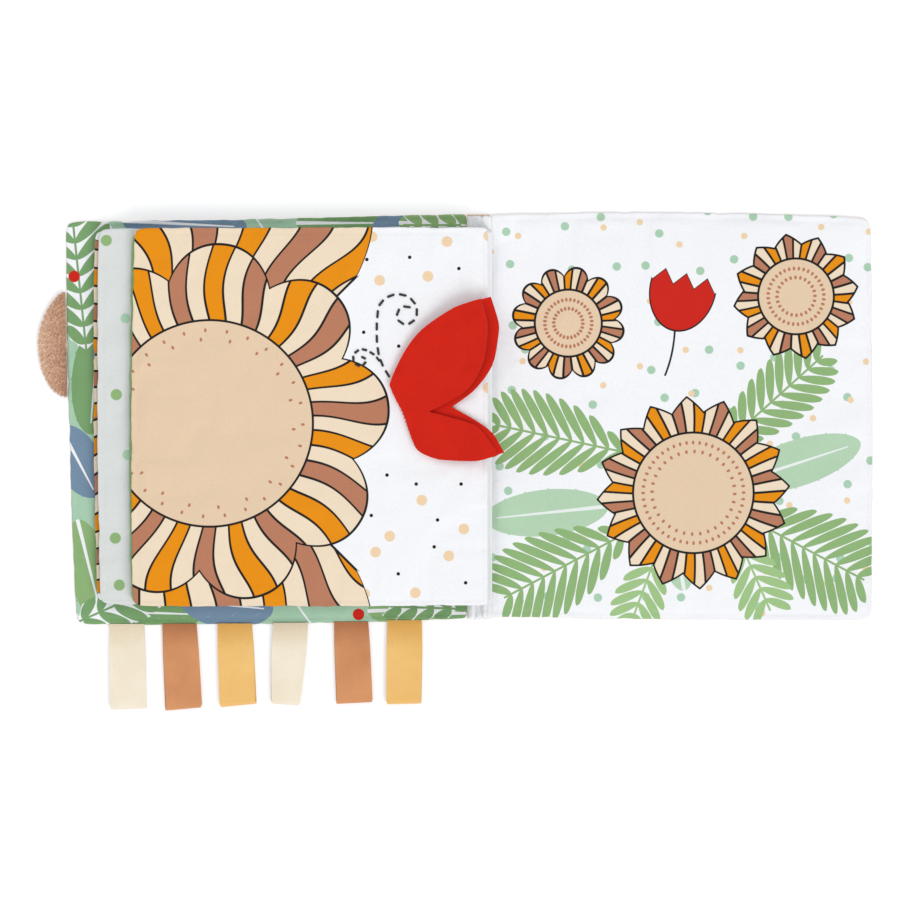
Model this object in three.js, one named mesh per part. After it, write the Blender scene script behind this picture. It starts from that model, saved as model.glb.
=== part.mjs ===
// Crinkle cloth book, lying open and flat at its last spread. Millimetres, +Z up.
// Origin: under the spine, where the two covers meet. +X to the right page, +Y to the top edge.
import * as THREE from "three";

// Sizes of the cloth and of what is between it
const clear = 0.3; // gap between pieces that touch
const coverCloth = 0.6;
const leafCloth = 0.5;
const film = 0.2; // crinkle film
const coverCrown = 2.6; // how far a cover's lining swells over its edge
const leafCrown = 0.75; // how far each cloth of a leaf swells over its edge
const coverRadius = 5;
const leafRadius = 4;
const coverBow = 0.6; // how far an edge bows out at its middle
const leafBow = 1;
const insetShare = 0.84; // what the film and the wadding keep of a panel's outline
const ringShares = [1, 0.97, 0.88, 0.6, 0.3];

const edgeShares = [1 / 4, 1 / 2, 3 / 4]; // where the middle points of an edge lie

// Covers: the width from the spine, and how far each corner is out of square,
// from lower left, anticlockwise
const coverWide = 178.8;
const coverTall = 179.8;
const frontMiddle = -1.2; // how high the front cover lies on the table, middle to origin
const backMiddle = 0.8;
const backSpare = 1; // what the back cover has over its share, so that the fore edges meet
const backShort = 0.8;
const frontSkew = [[5.1, 0], [0, 0.2], [0, 0], [0, 0]];
const backSkew = [[0, 0.9], [-1, 0], [0, -2.3], [0, 0]];

// Leaves: width, where each ends over the gutter, and what its roll over the gutter takes up
const leafWide = 171.7;
const leafTall = 166;
const leafMiddle = 1;
const leafEnds = [3.9, 4.7, 7.2, 8];
const leafRolls = [0, 1, 13.5, 13.8];
const leafSkews = [
  [[0, 0.6], [0, -0.6], [0, -1], [0, -0.6]],
  [[0, 0], [0, -1.2], [0, 0], [0, 0.4]],
  [[0, 0.4], [0, -1.6], [0, 0.6], [0, -0.8]],
  [[0, -0.2], [0, -2.6], [0, 1.3], [0, 0]],
];

// The spine
const spineWide = 9.4;
const spineLeft = -1.1;
const spineShort = 1; // how much shorter the spine's cloths are than the covers
const spineTall = 3.4; // top of the gathered lining
const spineFold = 0.7; // depth of its folds
const spineFoldShares = [1, 4 / 5, 3 / 5, 2 / 5, 1 / 5, 0];
const gutterCloth = 0.5;

// Felt butterfly, sewn along the left side of its body: points from the top leaf's end
const felt = 1.2;
const lowerWings = [
  [-43.2, 15.7], [-42.9, 11.9], [-40.4, 6.5], [-37.6, 0.9], [-33.5, -10.5], [-30.7, -15.2],
  [-23.9, -18.4], [-18.3, -19.3], [-4.6, -19.5], [7.2, -16], [2.3, -7.7], [-5.8, -1.5],
  [-16.1, 4.3], [-6.8, 11.1], [1.7, 22.5], [4.5, 35.6], [4.5, 42.5], [1.2, 53.3],
  [-8, 50.9], [-16.6, 47.5], [-29.5, 38.3], [-37.5, 28.1],
];
const upperWings = [
  [-43.4, 15.7], [-43, 11.9], [-40.5, 6.5], [-37.6, 0.9], [-33.7, -10.6], [-30.8, -15.4],
  [-23.9, -18.6], [-18.3, -19.4], [-4.6, -19.7], [4.3, -17.2], [2.3, -13.4], [-4, -5.2],
  [-9.1, -2.6], [-16, -0.6], [-26.2, 2.2], [-17.7, 6.5], [-9.1, 12.2], [-2.9, 22.5],
  [-0.8, 32.8], [-0.6, 42.5], [-3.4, 52.3], [-8, 51], [-16.6, 47.6], [-29.7, 38.5],
  [-37.6, 28.2],
];
const stitchBar = [[-45.3, 14.2], [-36, -10.4], [-35.1, -10.1], [-44.4, 14.5]];
const stitchTall = 1;

// Plush lobe behind the front cover's fore edge
const lobeReach = 13;
const lobeTall = 47;
const lobeMiddle = 32.6;
const lobeCloth = 0.9;
const lobeCrown = 1.2;
const lobeSteps = 16;

// Ribbon loops under the front cover's bottom edge: the root's middle from the fore edge,
// how far the fold leans to the right, and the length
const ribbonWide = 16;
const ribbonThick = 0.35;
const ribbonSlit = 0.7;
const ribbonBend = 4; // segments round the fold
const loops = [
  [26.4, 0.7, 38.8], [49.9, 1.8, 38.8], [74.7, 1.6, 37.2],
  [99.4, -1.6, 36.8], [126.9, 1.4, 36.1], [150.9, -0.3, 36.5],
];

const cloth = (color, roughness = 0.9) =>
  new THREE.MeshStandardMaterial({ color, roughness, metalness: 0 });
const paint = {
  beige: cloth("#eacba3"), leafPrint: cloth("#7ba46e"), white: cloth("#f2f3f6"),
  slate: cloth("#6c86a3"), stripe: cloth("#e58e00"), strip: cloth("#d5d8d7"),
  sage: cloth("#93b57c"), wadding: cloth("#f4f2ee", 1), film: cloth("#dfe3e8", 0.35),
  red: cloth("#cd2012", 0.95), black: cloth("#161616"), plush: cloth("#b98f70", 1),
  cream: cloth("#f5e6cc", 0.5), brown: cloth("#c4814f", 0.5), gold: cloth("#edb95f", 0.5),
};

const book = new THREE.Group();
const add = (name, geometry, material) => {
  const mesh = new THREE.Mesh(geometry, material);
  mesh.name = name;
  book.add(mesh);
};

// The corners of a piece of cloth: a rectangle, each corner moved by its skew
function skewed(left, right, middle, tall, skew) {
  const half = tall / 2;
  return [
    [left, middle - half], [right, middle - half], [right, middle + half], [left, middle + half],
  ].map(([x, y], i) => [x + skew[i][0], y + skew[i][1]]);
}
const spineRight = spineLeft + spineWide;
const foreEdge = spineLeft - clear - coverWide;
const backWide = coverWide - spineWide + backSpare;
const frontCorners = skewed(foreEdge, spineLeft - clear, frontMiddle, coverTall, frontSkew);
const backCorners = skewed(spineRight + clear, spineRight + clear + backWide, backMiddle,
  coverTall - backShort, backSkew);
const leafCorners = leafEnds.map((end, i) =>
  skewed(end + leafRolls[i] - leafWide, end, leafMiddle, leafTall, leafSkews[i]));

// A rounded outline through four corners; each edge bows outward a little, but not the spine's
function roundedOutline(corners, radius, bow, spineSide) {
  const points = [];
  corners.forEach((corner, i) => {
    const here = new THREE.Vector2(...corner);
    const last = new THREE.Vector2(...corners[(i + 3) % 4]);
    const next = new THREE.Vector2(...corners[(i + 1) % 4]);
    const start = here.clone().add(last.clone().sub(here).setLength(radius));
    const end = here.clone().add(next.clone().sub(here).setLength(radius));
    const middle = start.clone().add(end).multiplyScalar(1 / 2).lerp(here, 1 / 2);
    points.push(start, middle, end);
    const along = next.clone().sub(here);
    const out = new THREE.Vector2(along.y, -along.x).normalize();
    for (const t of edgeShares) {
      const lift = i === spineSide ? 0 : bow * (1 - (2 * t - 1) ** 2);
      points.push(here.clone().lerp(next, t).addScaledVector(out, lift));
    }
  });
  return points;
}

// A closed layer over an outline: low and high give its two faces by the share of the outline
function layer(outline, low, high, keep = 1) {
  const centre = new THREE.Vector2();
  outline.forEach((p) => centre.addScaledVector(p, 1 / outline.length));
  const n = outline.length;
  const rings = ringShares.length;
  const positions = [];
  for (const face of [high, low]) {
    for (const share of ringShares) {
      for (const p of outline) {
        const at = centre.clone().lerp(p, share * keep);
        positions.push(at.x, at.y, face(share * keep));
      }
    }
    positions.push(centre.x, centre.y, face(0));
  }
  const index = [];
  const under = rings * n + 1;
  const quad = (a, b, c, d) => index.push(a, b, c, a, c, d);
  for (let i = 0; i < n; i += 1) {
    const j = (i + 1) % n;
    for (let r = 0; r < rings - 1; r += 1) {
      quad(r * n + i, r * n + j, (r + 1) * n + j, (r + 1) * n + i);
      quad(under + r * n + j, under + r * n + i, under + (r + 1) * n + i, under + (r + 1) * n + j);
    }
    index.push((rings - 1) * n + i, (rings - 1) * n + j, rings * n);
    index.push(under + (rings - 1) * n + j, under + (rings - 1) * n + i, under + rings * n);
    quad(under + i, under + j, j, i);
  }
  const geometry = new THREE.BufferGeometry();
  geometry.setAttribute("position", new THREE.Float32BufferAttribute(positions, 3));
  geometry.setIndex(index);
  geometry.computeVertexNormals();
  return geometry;
}

const swell = (share) => 1 - share ** 4;

// Covers: outer cloth flat on the table, film, wadding, and the lining that swells over them
const liningFoot = coverCloth + clear;
const coverTop = liningFoot + coverCrown + coverCloth;
function cover(name, corners, spineSide, lining) {
  const outline = roundedOutline(corners, coverRadius, coverBow, spineSide);
  const filmTop = coverCloth + clear + film;
  const liningLow = (s) => liningFoot + coverCrown * swell(s);
  add(`${name}_outer_cloth`, layer(outline, () => 0, () => coverCloth), paint.beige);
  add(`${name}_film`, layer(outline, () => coverCloth + clear, () => filmTop, insetShare), paint.film);
  add(`${name}_wadding`,
    layer(outline, () => filmTop + clear, (s) => liningLow(s) - clear, insetShare), paint.wadding);
  add(`${name}_lining`, layer(outline, liningLow, (s) => liningLow(s) + coverCloth), lining);
}
cover("front_cover", frontCorners, 1, paint.leafPrint);
cover("back_cover", backCorners, 3, paint.white);

// Spine: flat cloth underneath, and the lining gathered in folds above it
const spineLength = coverTall - spineShort;
function alongSpine(profile) {
  const geometry = new THREE.ExtrudeGeometry(new THREE.Shape(profile), {
    depth: spineLength, bevelEnabled: false, steps: 1,
  });
  geometry.rotateX(Math.PI / 2);
  geometry.translate(0, spineLength / 2, 0);
  return geometry;
}
const at = (x, z) => new THREE.Vector2(x, z);
add("spine_cloth", alongSpine([
  at(spineLeft, 0), at(spineRight, 0), at(spineRight, coverCloth), at(spineLeft, coverCloth),
]), paint.beige);
const folds = [];
for (const t of spineFoldShares) {
  const lift = folds.length % 2 ? 0 : spineFold;
  folds.push(at(spineLeft + spineWide * t, spineTall - lift));
}
add("spine_lining", alongSpine([
  at(spineLeft, liningFoot), at(spineRight, liningFoot), ...folds,
]), paint.white);

// Leaves: two cloths with crinkle film between them, one leaf above the other
const leafHalf = clear / 2 + leafCrown + leafCloth;
const leafEdge = clear / 2 + leafCloth;
const leafColours = [
  [paint.slate, paint.stripe], [paint.sage, paint.strip],
  [paint.sage, paint.white], [paint.white, paint.white],
];
const leafMiddles = leafCorners.map((_, i) => coverTop + clear + leafHalf + i * (2 * leafHalf + clear));
leafCorners.forEach((corners, i) => {
  const outline = roundedOutline(corners, leafRadius, leafBow, 1);
  const name = `leaf_${i + 1}`;
  const z = leafMiddles[i];
  const inner = (s) => clear / 2 + leafCrown * swell(s);
  add(`${name}_back_cloth`,
    layer(outline, (s) => z - inner(s) - leafCloth, (s) => z - inner(s)), leafColours[i][0]);
  add(`${name}_film`, layer(outline, () => z - film / 2, () => z + film / 2, insetShare), paint.film);
  add(`${name}_front_cloth`,
    layer(outline, (s) => z + inner(s), (s) => z + inner(s) + leafCloth), leafColours[i][1]);
});

// Gutter cloth: the last stretch of an upper leaf, which falls from its edge to the spine
for (const i of [1, 2, 3]) {
  const right = leafCorners[i][1][0];
  const foot = spineTall + clear;
  const head = leafMiddles[i] - leafEdge - clear;
  const half = (head + foot) / 2;
  add(`leaf_${i + 1}_gutter_cloth`, alongSpine([
    at(right - 2 * gutterCloth + clear / 2, foot), at(right - gutterCloth + clear / 2, foot),
    at(right, half), at(right, head), at(right - gutterCloth, head), at(right - gutterCloth, half),
  ]).scale(1, -2 * leafCorners[i][1][1] / spineLength, 1), paint.white);
}

// Felt butterfly: two loose pairs of wings over the top leaf, and the stitches along the body
const leafTop = leafMiddles[leafMiddles.length - 1] + leafHalf;
function plate(points, foot, tall) {
  const shape = new THREE.Shape(points.map(([x, y]) => at(x, y)));
  const geometry = new THREE.ExtrudeGeometry(shape, { depth: tall, bevelEnabled: false });
  geometry.translate(0, 0, foot);
  return geometry;
}
const lowerFoot = leafTop + clear;
const upperFoot = lowerFoot + felt + clear;
const topEnd = leafEnds[leafEnds.length - 1];
const onTopLeaf = (points) => points.map(([x, y]) => [x + topEnd, y]);
add("butterfly_lower_wings", plate(onTopLeaf(lowerWings), lowerFoot, felt), paint.red);
add("butterfly_upper_wings", plate(onTopLeaf(upperWings), upperFoot, felt), paint.red);
add("butterfly_stitches", plate(onTopLeaf(stitchBar), leafTop + clear, stitchTall), paint.red);

// Plush lobe: two pieces of pile cloth with stuffing between them
const lobeShare = (frontCorners[3][1] - lobeMiddle) / coverTall;
const lobeRoot = foreEdge - coverBow - clear
  + frontSkew[0][0] * (lobeShare - lobeTall / 2 / coverTall);
const lobeOutline = [];
for (let i = 0; i <= lobeSteps; i += 1) {
  const a = Math.PI * (1 / 2 + i / lobeSteps);
  lobeOutline.push(at(
    lobeRoot + lobeReach * Math.cos(a), lobeMiddle + (lobeTall / 2) * Math.sin(a)));
}
add("lobe_under_plush", layer(lobeOutline, () => 0, () => lobeCloth), paint.plush);
add("lobe_stuffing", layer(lobeOutline, () => lobeCloth + clear,
  (s) => lobeCloth + clear + lobeCrown * swell(s) - clear / 2, insetShare), paint.wadding);
add("lobe_upper_plush", layer(lobeOutline, (s) => lobeCloth + clear + lobeCrown * swell(s),
  (s) => 2 * lobeCloth + clear + lobeCrown * swell(s)), paint.plush);

// Ribbon loops: a folded length of satin each, its two ends in the cover's bottom seam
const ribbonMiddle = ribbonThick + ribbonSlit / 2;
const ribbonColours = [paint.cream, paint.brown, paint.gold];
const ribbonRoot = frontMiddle - coverTall / 2 - coverBow - clear;
loops.forEach(([place, lean, long], i) => {
  const root = foreEdge + place;
  const end = ribbonRoot - long;
  const outer = ribbonMiddle;
  const inner = ribbonSlit / 2;
  const profile = [at(ribbonRoot, 0), at(ribbonRoot, ribbonThick)];
  for (let k = 0; k <= ribbonBend; k += 1) {
    const a = Math.PI * (k / ribbonBend - 1 / 2);
    profile.push(at(end + outer - inner * Math.cos(a), outer + inner * Math.sin(a)));
  }
  profile.push(at(ribbonRoot, 2 * outer - ribbonThick), at(ribbonRoot, 2 * outer));
  for (let k = ribbonBend; k >= 0; k -= 1) {
    const a = Math.PI * (k / ribbonBend - 1 / 2);
    profile.push(at(end + outer - outer * Math.cos(a), outer + outer * Math.sin(a)));
  }
  const geometry = new THREE.ExtrudeGeometry(new THREE.Shape(profile), {
    depth: ribbonWide, bevelEnabled: false,
  });
  geometry.rotateX(Math.PI / 2).rotateZ(Math.PI / 2);
  geometry.translate(-ribbonWide / 2, 0, 0);
  const points = geometry.attributes.position;
  for (let v = 0; v < points.count; v += 1) {
    const t = (points.getY(v) - ribbonRoot) / (end - ribbonRoot);
    points.setX(v, points.getX(v) + root + lean * t);
  }
  add(`ribbon_loop_${i + 1}`, geometry, ribbonColours[i % ribbonColours.length]);
});

export default book;
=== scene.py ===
import math

import bmesh
import bpy
import numpy as np
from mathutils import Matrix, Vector, noise


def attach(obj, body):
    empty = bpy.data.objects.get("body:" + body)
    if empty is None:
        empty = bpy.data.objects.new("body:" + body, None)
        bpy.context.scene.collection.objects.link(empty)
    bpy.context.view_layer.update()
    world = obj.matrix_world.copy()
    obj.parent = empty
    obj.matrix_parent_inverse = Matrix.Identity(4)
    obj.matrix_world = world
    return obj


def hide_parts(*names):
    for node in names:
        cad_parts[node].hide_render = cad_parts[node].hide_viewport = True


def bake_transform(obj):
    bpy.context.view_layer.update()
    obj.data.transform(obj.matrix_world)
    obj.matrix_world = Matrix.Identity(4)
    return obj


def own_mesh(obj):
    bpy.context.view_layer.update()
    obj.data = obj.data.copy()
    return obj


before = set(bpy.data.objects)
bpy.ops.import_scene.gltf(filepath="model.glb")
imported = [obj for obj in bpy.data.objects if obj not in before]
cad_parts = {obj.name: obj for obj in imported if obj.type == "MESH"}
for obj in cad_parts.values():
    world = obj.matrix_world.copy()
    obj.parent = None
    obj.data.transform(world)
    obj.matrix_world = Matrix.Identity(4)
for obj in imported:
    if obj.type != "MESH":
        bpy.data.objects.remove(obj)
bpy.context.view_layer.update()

# FRONT COVER
# Two squares of printed cotton sewn face to face, turned, and filled with wadding and
# crinkle film. It lies flat on the table, and a tropical leaf print lines its inner face.


class Ink:
    """A number that the print's nodes work out at each point of the cloth, in millimetres."""

    def __init__(self, tree, socket):
        self.tree, self.socket = tree, socket

    def work(self, kind, *others):
        node = self.tree.nodes.new("ShaderNodeMath")
        node.operation = kind
        for place, part in enumerate((self, *others)):
            if isinstance(part, Ink):
                self.tree.links.new(part.socket, node.inputs[place])
            else:
                node.inputs[place].default_value = float(part)
        return Ink(self.tree, node.outputs[0])

    def __add__(self, other):
        return self.work("ADD", other)

    def __sub__(self, other):
        return self.work("SUBTRACT", other)

    def __mul__(self, other):
        return self.work("MULTIPLY", other)

    def __truediv__(self, other):
        return self.work("DIVIDE", other)

    def __neg__(self):
        return self.work("MULTIPLY", -1)

    __radd__, __rmul__ = __add__, __mul__

    def least(self, other):
        return self.work("MINIMUM", other)

    def most(self, other):
        return self.work("MAXIMUM", other)

    def size(self):
        return self.work("ABSOLUTE")

    def part(self):
        return self.work("FRACT")

    def whole(self):
        return self.work("FLOOR")

    def sine(self):
        return self.work("SINE")

    def to_the(self, power):
        return self.work("POWER", power)

    def below(self, edge, soft=0.18):
        """1 where the number is under edge, 0 over it, with an edge as soft as print on cotton."""
        return (-(self - edge)).work("MULTIPLY_ADD", 1 / soft, 0.5).held()

    def held(self):
        node = self.tree.nodes.new("ShaderNodeClamp")
        self.tree.links.new(self.socket, node.inputs[0])
        return Ink(self.tree, node.outputs[0])


def spread(x, y, x0, y0, degrees=0.0):
    """The print's coordinates about a motif's own middle, turned to lie along it."""
    c, s = math.cos(math.radians(degrees)), math.sin(math.radians(degrees))
    dx, dy = x - x0, y - y0
    return dx * c + dy * s, dy * c - dx * s


def length(x, y):
    return (x * x + y * y).work("SQRT")


def over(tree, under, colour, cover):
    """Lays a colour over another where cover is 1."""
    node = tree.nodes.new("ShaderNodeMix")
    node.data_type = "RGBA"
    tree.links.new(cover.socket, node.inputs["Factor"])
    for name, value in (("A", under), ("B", colour)):
        slot = [i for i in node.inputs if i.name == name and i.type == "RGBA"][0]
        if isinstance(value, tuple):
            slot.default_value = (*value, 1)
        else:
            tree.links.new(value, slot)
    return [o for o in node.outputs if o.type == "RGBA"][0]


def shade(hex_colour):
    """A colour as the eye reads it, turned to the light values that Blender wants."""
    parts = [int(hex_colour[i : i + 2], 16) / 255 for i in (1, 3, 5)]
    return tuple(p / 12.92 if p <= 0.04045 else ((p + 0.055) / 1.055) ** 2.4 for p in parts)


BEIGE, PAGE_WHITE, RED = shade("#e6cbac"), shade("#f5f6f9"), shade("#cc1f10")
LEAF_GREEN, SAGE, MINT, SLATE = shade("#7ba46e"), shade("#8fb478"), shade("#abcfb3"), shade("#7690a8")


def new_finish(name, roughness, shine=0.5, sheen=0.0):
    """A new material: its nodes, its shader, and the places on the piece that it is asked for."""
    material = bpy.data.materials.new(name)
    material.use_nodes = True
    tree = material.node_tree
    shader = tree.nodes["Principled BSDF"]
    shader.inputs["Roughness"].default_value = roughness
    shader.inputs["Specular IOR Level"].default_value = shine
    shader.inputs["Sheen Weight"].default_value = sheen
    return material, tree, shader, tree.nodes.new("ShaderNodeTexCoord").outputs["Object"]


def millimetres(tree, where):
    apart = tree.nodes.new("ShaderNodeSeparateXYZ")
    tree.links.new(where, apart.inputs[0])
    return [Ink(tree, apart.outputs[i]) * 1000 for i in range(3)]


def cloudy(tree, where, scale, detail=2, distortion=0.0):
    """Uneven tone or relief, finer as its scale grows."""
    node = tree.nodes.new("ShaderNodeTexNoise")
    node.inputs["Scale"].default_value = scale
    node.inputs["Detail"].default_value = detail
    node.inputs["Distortion"].default_value = distortion
    tree.links.new(where, node.inputs["Vector"])
    return Ink(tree, node.outputs["Fac"])


def raise_surface(tree, shader, height, strength, distance):
    bump = tree.nodes.new("ShaderNodeBump")
    bump.inputs["Strength"].default_value = strength
    bump.inputs["Distance"].default_value = distance
    tree.links.new(height.socket, bump.inputs["Height"])
    tree.links.new(bump.outputs[0], shader.inputs["Normal"])


def woven(name, paint, wrinkle=0.35, stitch=True):
    """Printed cotton: paint lays the colours, and under them are the weave, soft creases and
    the channel of the topstitching a few millimetres inside the seam."""
    material, tree, shader, where = new_finish(name, 0.88, 0.25, 0.15)
    x, y, z = millimetres(tree, where)
    colour = paint(tree, x, y, z)
    # threads over and under, with slubs that vary their tone a little
    yarn_pitch, ridge = 0.55, 0.1
    weave = (x * (math.tau / yarn_pitch)).sine() * (y * (math.tau / yarn_pitch)).sine()
    slub = cloudy(tree, where, 900)
    tone = tree.nodes.new("ShaderNodeHueSaturation")
    value = slub.work("MULTIPLY_ADD", 0.1, 0.945) + weave * 0.012
    tree.links.new(value.socket, tone.inputs["Value"])
    if isinstance(colour, tuple):
        tone.inputs["Color"].default_value = (*colour, 1)
    else:
        tree.links.new(colour, tone.inputs["Color"])
    tree.links.new(tone.outputs[0], shader.inputs["Base Color"])
    height = weave * (ridge * 0.1) + slub * (ridge * 0.25) + cloudy(tree, where, 28, 3, 0.6) * wrinkle
    if stitch:
        edge = tree.nodes.new("ShaderNodeUVMap")
        edge.uv_map = "seam"
        off = tree.nodes.new("ShaderNodeSeparateXYZ")
        tree.links.new(edge.outputs[0], off.inputs[0])
        inward = Ink(tree, off.outputs[0]) * 1000
        channel = ((inward - 2.6) * (inward - 2.6) * -0.9).work("EXPONENT")
        fading = (inward * -0.3).work("EXPONENT")
        height = height - channel * 0.2 + cloudy(tree, where, 260, 1) * fading * 0.7
    raise_surface(tree, shader, height, 0.8, 0.001)
    return material


def frond(x, y, x0, y0, degrees, long, wide, pitch):
    """A palm frond: round-ended leaflets slanting off a rib from x0, y0, longest in the middle.
    Gives its shape, and the ground that shows between the leaflets."""
    u, v = spread(x, y, x0, y0, degrees)
    out = v.size()
    step = (u - out * 0.8) / pitch
    root = (step.whole() + 0.5) * pitch
    along = (root / long).held()
    reach = (along * (along * -1 + 1) * 4).to_the(0.5) * wide
    share = (out / (reach + 0.01)).least(1)
    thick = (share * (share * share * -1 + 1) * 2.6).to_the(0.5) * 0.46
    leaflet = (((step.part() - 0.5).size() - thick) * pitch).below(0) * (out - reach + 0.2).below(0)
    rib = (out - 0.5).below(0) * (-u).below(0) * (u - long).below(0)
    return leaflet.most(rib), (out - reach + 1).below(0)


def broad_leaf(x, y, x0, y0, degrees, long, wide):
    """A broad leaf, slit here and there from its margin, and the line of its pale rib."""
    u, v = spread(x, y, x0, y0, degrees)
    along = (u / long).held()
    reach = (along * (along * -1 + 1) * 4).to_the(0.55) * wide
    slit = ((((u - v.size() * 0.9) / 11.0).part() - 0.5).size() * -11 + 0.6) - (v.size() - reach * 0.8)
    shape = (v.size() - reach).below(0) * slit.most(reach * 0.8 - v.size()).work("GREATER_THAN", 0)
    rib = (v.size() + u * (0.7 / long) - 0.9).below(0) * (u - long * 0.9).below(0)
    return shape, rib * shape


def scatter(tree, x, y, pitch, radius, shift):
    """Small dots, one to a cell and not on a grid."""
    spot = tree.nodes.new("ShaderNodeCombineXYZ")
    tree.links.new((x + shift).socket, spot.inputs[0])
    tree.links.new((y - shift * 1.7).socket, spot.inputs[1])
    cells = tree.nodes.new("ShaderNodeTexVoronoi")
    cells.voronoi_dimensions = "2D"
    cells.inputs["Scale"].default_value = 1 / pitch
    cells.inputs["Randomness"].default_value = 0.7
    tree.links.new(spot.outputs[0], cells.inputs["Vector"])
    return (Ink(tree, cells.outputs["Distance"]) * pitch).below(radius, 0.3)


def tropical(tree, x, y, z):
    """Broad leaves in green, slate and mint with pale ribs, a few fronds over them, red berries."""
    bands = ((x + y * 0.55 + (y * 0.06).sine() * 5) / 34).part() - 0.5
    colour = over(tree, MINT, PAGE_WHITE, (bands.size() * 34).below(0.5))
    for x0, y0, turn, long, wide, ink in (
        (-166, 42, -95, 50, 13, LEAF_GREEN), (-184, -4, -62, 36, 13, SLATE),
        (-176, -46, -76, 50, 12, SAGE), (-166, -87, -2, 46, 11, LEAF_GREEN),
        (-130, -82, -6, 42, 13, SLATE), (-46, -87, 2, 34, 9, SAGE), (-12, -88, 0, 24, 12, LEAF_GREEN),
        (-156, 88, -3, 56, 12, SLATE), (-78, 87, 0, 40, 9, LEAF_GREEN), (-44, 84, 4, 18, 9, SLATE),
        (-32, 87, -2, 44, 10, SAGE), (-130, 30, -60, 60, 18, LEAF_GREEN), (-60, 30, 240, 60, 18, SAGE),
    ):
        shape, rib = broad_leaf(x, y, x0, y0, turn, long, wide)
        colour = over(tree, over(tree, colour, ink, shape), PAGE_WHITE, rib)
    for x0, y0, turn, long, wide, ink in (
        (-172, 30, 96, 66, 17, LEAF_GREEN), (-6, -86, 178, 30, 8, LEAF_GREEN), (-4, 86, 180, 26, 8, SAGE),
        (-176, -92, 24, 34, 12, LEAF_GREEN),
    ):
        shape, ground = frond(x, y, x0, y0, turn, long, wide, 7.5)
        colour = over(tree, over(tree, colour, PAGE_WHITE, ground), ink, shape)
    for x0, y0 in ((-177.5, 63), (-154, -78), (-50, -88.5), (-40, 30), (-100, 60)):
        colour = over(tree, colour, RED, length(*spread(x, y, x0, y0)).below(2.6))
    return colour


def plain(ink):
    return lambda tree, x, y, z: ink


def settle(pad, s, t, up, inward, cells):
    """Cloth simulation: the cloth is held at its seam, is a little larger than its filling, and
    air presses it outwards. Gives the height of the small creases that this leaves in it."""
    before = np.array([v.co for v in pad.data.vertices])
    seam = pad.vertex_groups.new(name="seam")
    for index, far in enumerate(inward):
        seam.add([index], float(np.clip(1 - far / 2.5, 0, 1)), "REPLACE")
    cloth = pad.modifiers.new("settling", "CLOTH")
    cloth.settings.quality = 4
    cloth.settings.mass = 0.1
    cloth.settings.tension_stiffness = cloth.settings.compression_stiffness = 15
    cloth.settings.shear_stiffness = 5
    cloth.settings.bending_stiffness = 0.02
    cloth.settings.use_pressure = True
    cloth.settings.uniform_pressure_force = 0.12
    cloth.settings.shrink_min = -0.012
    cloth.settings.effector_weights.gravity = 0
    cloth.settings.vertex_group_mass = "seam"
    cloth.collision_settings.use_collision = False
    for frame_number in range(1, 16):
        bpy.context.scene.frame_set(frame_number)
    bpy.ops.object.modifier_apply(modifier=cloth.name)
    bpy.context.scene.frame_set(1)
    rise = (np.array([v.co for v in pad.data.vertices]) - before)[:, 2] * 1000
    pad.vertex_groups.clear()
    creases = np.zeros(len(rise))
    around = 6  # the broad swell is the mean over this many cells to each side, and is left out
    window = 2 * around + 1
    for side in (up, ~up):
        order = np.flatnonzero(side)
        order = order[np.lexsort((s[order].round(4), t[order].round(4)))]
        field = rise[order].reshape(cells + 1, cells + 1)
        broad = field
        for axis in (0, 1):
            rim = [(around, around) if k == axis else (0, 0) for k in (0, 1)]
            run = np.cumsum(np.insert(np.pad(broad, rim, mode="edge"), 0, 0, axis=axis), axis=axis)
            ends = np.arange(window, run.shape[axis])
            broad = (np.take(run, ends, axis) - np.take(run, ends - window, axis)) / window
        creases[order] = (field - broad).ravel()
    return creases


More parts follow.
